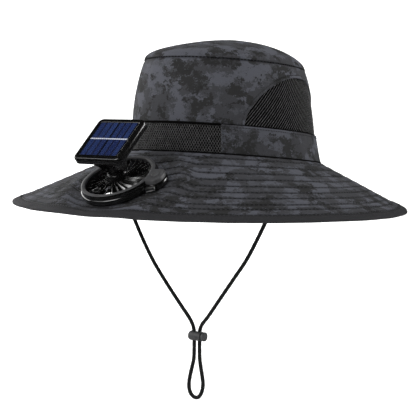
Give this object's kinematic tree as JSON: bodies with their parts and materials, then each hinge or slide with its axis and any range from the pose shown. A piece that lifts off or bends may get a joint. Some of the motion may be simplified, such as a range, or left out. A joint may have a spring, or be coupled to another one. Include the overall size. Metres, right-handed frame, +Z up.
{
  "type": "solar fan hat",
  "caption": "Wide-brimmed camouflage sun hat with net vents, a round fan and a tilting solar panel on the brim, and a chin cord with a cord lock.",
  "frame": {"origin": "centre of the head opening, level with the brim's inner edge at the crown's sides", "axes": "+Z up along the crown, -Y towards the front of the brim where the fan sits, +X towards the wearer's left"},
  "size_m": [0.3762, 0.3493, 0.337],
  "materials": {
    "camouflage_cloth": "woven cloth in a three-tone grey camouflage",
    "binding_tape": "plain dark grey woven tape",
    "black_net": "open black net",
    "black_plastic": "polished black moulding",
    "satin_plastic": "satin dark grey moulding",
    "solar_cell": "dark blue cells under a clear coat",
    "socket_metal": "bright pressed metal",
    "cord_braid": "round black braid"
  },
  "bodies": {
    "hat": {"crown_side": "camouflage_cloth", "crown_top": "camouflage_cloth", "vent_left": "black_net", "vent_right": "black_net", "band_cloth": "camouflage_cloth", "band_mesh": "black_net", "brim": "camouflage_cloth", "brim_binding": "binding_tape", "cord_anchor_left": "binding_tape", "cord_anchor_right": "binding_tape", "fan_base": "black_plastic", "fan_retainer": "black_plastic", "fan_ring": "satin_plastic", "fan_grille": "black_plastic", "charge_port": "socket_metal", "chin_cord": "cord_braid", "toggle_barrel": "satin_plastic"},
    "rotor": {"fan_impeller": "black_plastic"},
    "button": {"power_button": "satin_plastic"},
    "neck": {"panel_neck": "black_plastic"},
    "panel": {"panel_bracket": "black_plastic", "panel_frame": "black_plastic", "panel_cells": "solar_cell"},
    "lock_plunger": {"toggle_plunger": "satin_plastic"}
  },
  "joints": [
    {"name": "fan_spin", "type": "hinge", "parent": "hat", "child": "rotor", "pos_m": [0, -0.1525, -0.01732], "axis": [0, -0.4739, 0.8806], "continuous": true},
    {"name": "panel_swivel", "type": "hinge", "parent": "hat", "child": "neck", "pos_m": [0, -0.1525, -0.01732], "axis": [0, -0.4739, 0.8806], "range_deg": [-170, 170]},
    {"name": "panel_tilt", "type": "hinge", "parent": "neck", "child": "panel", "pos_m": [0, -0.16221, 0.00073], "axis": [1, 0, 0], "range_deg": [-25, 15]},
    {"name": "button_press", "type": "slide", "parent": "hat", "child": "button", "axis": [0, 0.4739, -0.8806], "range_m": [0, 0.0008], "stiffness_N_per_m": 400},
    {"name": "toggle_press", "type": "slide", "parent": "hat", "child": "lock_plunger", "axis": [-1, 0, 0], "range_m": [0, 0.0012], "stiffness_N_per_m": 400}
  ]
}
